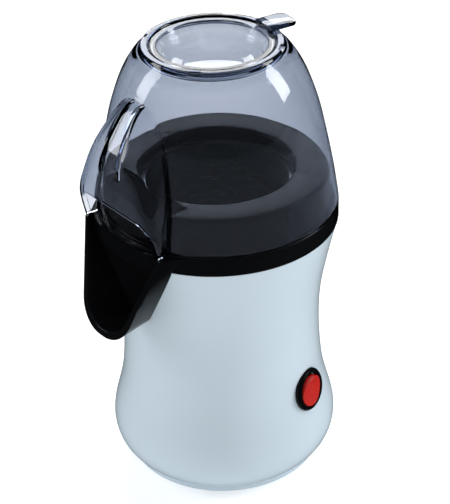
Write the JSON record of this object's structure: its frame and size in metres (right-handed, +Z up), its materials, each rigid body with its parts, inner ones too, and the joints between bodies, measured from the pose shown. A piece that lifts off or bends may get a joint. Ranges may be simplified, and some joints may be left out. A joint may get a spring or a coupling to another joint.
{
  "type": "popcorn maker",
  "caption": "Upright hot-air popcorn maker with a waisted housing, black deck and chute, smoked domed cover with outlet hood, lift-out measuring cup and round rocker switch.",
  "frame": {"origin": "on the upright axis of the housing, at table level under the feet", "axes": "+Z up along the housing's axis, -Y towards the spout, +X to the side that carries the switch"},
  "size_m": [0.1558, 0.1763, 0.3026],
  "materials": {
    "white_plastic": "glossy moulded white with a cool tint",
    "black_plastic": "glossy moulded black",
    "smoked_plastic": "clear smoke-tinted polycarbonate",
    "clear_plastic": "clear moulded plastic with a faint smoke tint",
    "red_plastic": "glossy red, slightly dished",
    "rubber": "matt",
    "steel": "plain zinc-plated",
    "aluminium": "spun and drawn sheet",
    "brass": "sintered, oiled",
    "mica": "mica board, silvery beige",
    "heater_wire": "oxidised resistance wire",
    "nylon": "natural heat-resistant nylon",
    "magnet": "ferrite",
    "circuit_board": "green solder mask",
    "lead_insulation": "glass-fibre sleeved leads"
  },
  "bodies": {
    "base": {"outer_shell": "white_plastic", "base_plate": "white_plastic", "rubber_feet": "rubber", "base_screws": "steel", "cord_gland": "rubber", "deck": "black_plastic", "chute": "black_plastic", "popping_chamber": "aluminium", "chamber_seal": "rubber", "chamber_screws": "steel", "air_jacket": "steel", "heater_duct": "steel", "mica_sleeve": "mica", "heater_former": "mica", "heater_coil": "heater_wire", "thermostat": "black_plastic", "thermal_fuse": "aluminium", "fan_housing": "nylon", "housing_screws": "steel", "motor_can": "steel", "motor_magnets": "magnet", "motor_bushes": "brass", "motor_screws": "steel", "rectifier_board": "circuit_board", "terminal_block": "nylon", "switch_bezel": "black_plastic", "switch_body": "black_plastic", "rocker_pin": "steel", "internal_leads": "lead_insulation"},
    "cover": {"smoked_cover": "smoked_plastic"},
    "cup": {"measuring_cup": "clear_plastic"},
    "rotor": {"fan_impeller": "nylon", "motor_shaft": "steel", "motor_armature": "steel"},
    "rocker": {"switch_rocker": "red_plastic"}
  },
  "joints": [
    {"name": "cover_lift", "type": "slide", "parent": "base", "child": "cover", "axis": [0, 0, 1], "range_m": [0, 0.15]},
    {"name": "cup_lift", "type": "slide", "parent": "cover", "child": "cup", "axis": [0, 0, 1], "range_m": [0, 0.06]},
    {"name": "fan_spin", "type": "hinge", "parent": "base", "child": "rotor", "pos_m": [0, 0, 0.03], "axis": [0, 0, 1], "continuous": true},
    {"name": "switch_rock", "type": "hinge", "parent": "base", "child": "rocker", "pos_m": [0.06139, 0.01995, 0.06392], "axis": [-0.309, 0.9511, 0], "range_deg": [-14, 0]}
  ]
}
